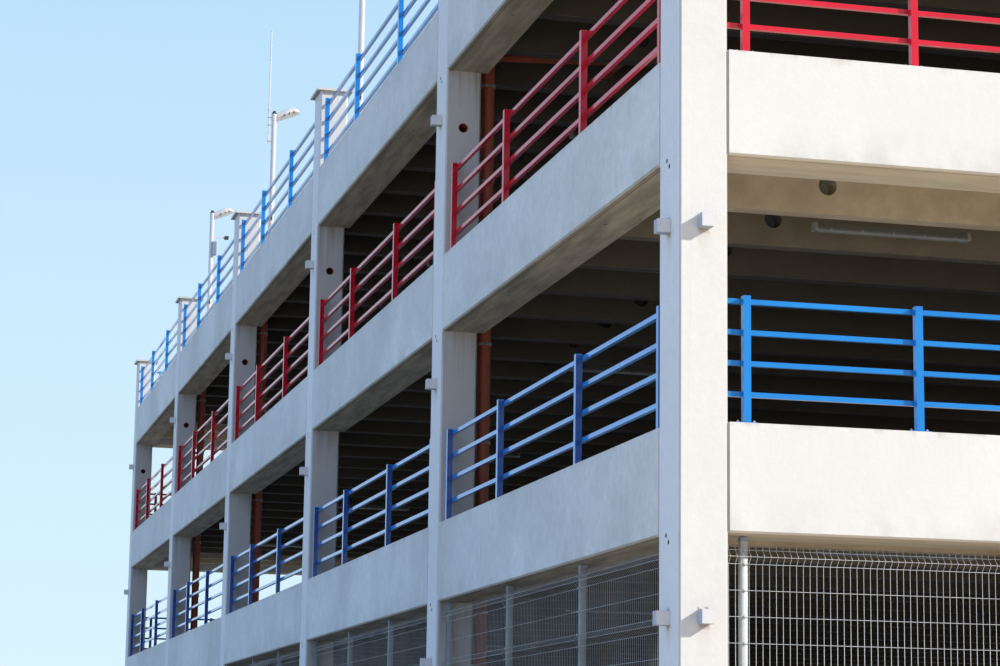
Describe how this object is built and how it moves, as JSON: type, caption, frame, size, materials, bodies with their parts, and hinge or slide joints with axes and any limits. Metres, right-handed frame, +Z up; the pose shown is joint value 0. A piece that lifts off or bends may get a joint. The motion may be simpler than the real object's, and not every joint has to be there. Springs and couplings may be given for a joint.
{
  "type": "multi storey car park, 1:2 scale model",
  "caption": "Open-sided multi storey car park of precast concrete columns, edge beams and ribbed floors, with coloured railings and a mesh fence at ground level.",
  "frame": {"origin": "middle of the building's outline at ground level", "axes": "+X along the long front towards the end that shows in the picture, +Y from the front to the back, +Z up"},
  "size_m": [21.16, 8.23, 7.005],
  "materials": {
    "precast_concrete": "smooth cast concrete, streaked and pitted",
    "unit_concrete": "cast concrete, brownish, unpainted",
    "floor_screed": "brushed screed",
    "blue_paint": "gloss powder coat",
    "red_paint": "gloss powder coat",
    "galvanised_wire": "hot dip galvanised",
    "cap_sheet": "coated sheet metal",
    "brown_pipe": "plastic pipe",
    "pole_steel": "galvanised and painted steel",
    "lamp_housing": "moulded housing"
  },
  "bodies": {
    "root": {"front_column_1": "precast_concrete", "front_column_2": "precast_concrete", "front_column_3": "precast_concrete", "front_column_4": "precast_concrete", "front_column_5": "precast_concrete", "front_column_6": "precast_concrete", "back_columns": "precast_concrete", "end_columns": "precast_concrete", "column_blocks": "precast_concrete", "column_caps": "cap_sheet", "front_beams_level_1": "precast_concrete", "front_beams_level_2": "precast_concrete", "front_beams_roof": "precast_concrete", "right_beams_level_1": "precast_concrete", "right_beams_level_2": "precast_concrete", "right_beams_roof": "precast_concrete", "back_beams": "precast_concrete", "left_beams": "precast_concrete", "floor_units_level_1": "unit_concrete", "floor_units_level_2": "unit_concrete", "roof_units": "unit_concrete", "floor_topping": "floor_screed", "roof_topping": "floor_screed", "front_railing_level_1": "blue_paint", "front_railing_level_2": "red_paint", "front_railing_roof": "blue_paint", "right_railing_level_1": "blue_paint", "right_railing_level_2": "red_paint", "right_railing_roof": "blue_paint", "back_railing_level_1": "blue_paint", "back_railing_level_2": "red_paint", "back_railing_roof": "blue_paint", "left_railing_level_1": "blue_paint", "left_railing_level_2": "red_paint", "left_railing_roof": "blue_paint", "front_fence": "galvanised_wire", "right_fence": "galvanised_wire", "back_fence": "galvanised_wire", "left_fence": "galvanised_wire", "rainwater_pipes": "brown_pipe", "ceiling_lamps": "lamp_housing", "roof_light_poles": "pole_steel", "pole_lanterns": "lamp_housing", "aerial_mast": "pole_steel", "security_camera": "lamp_housing"}
  },
  "joints": []
}
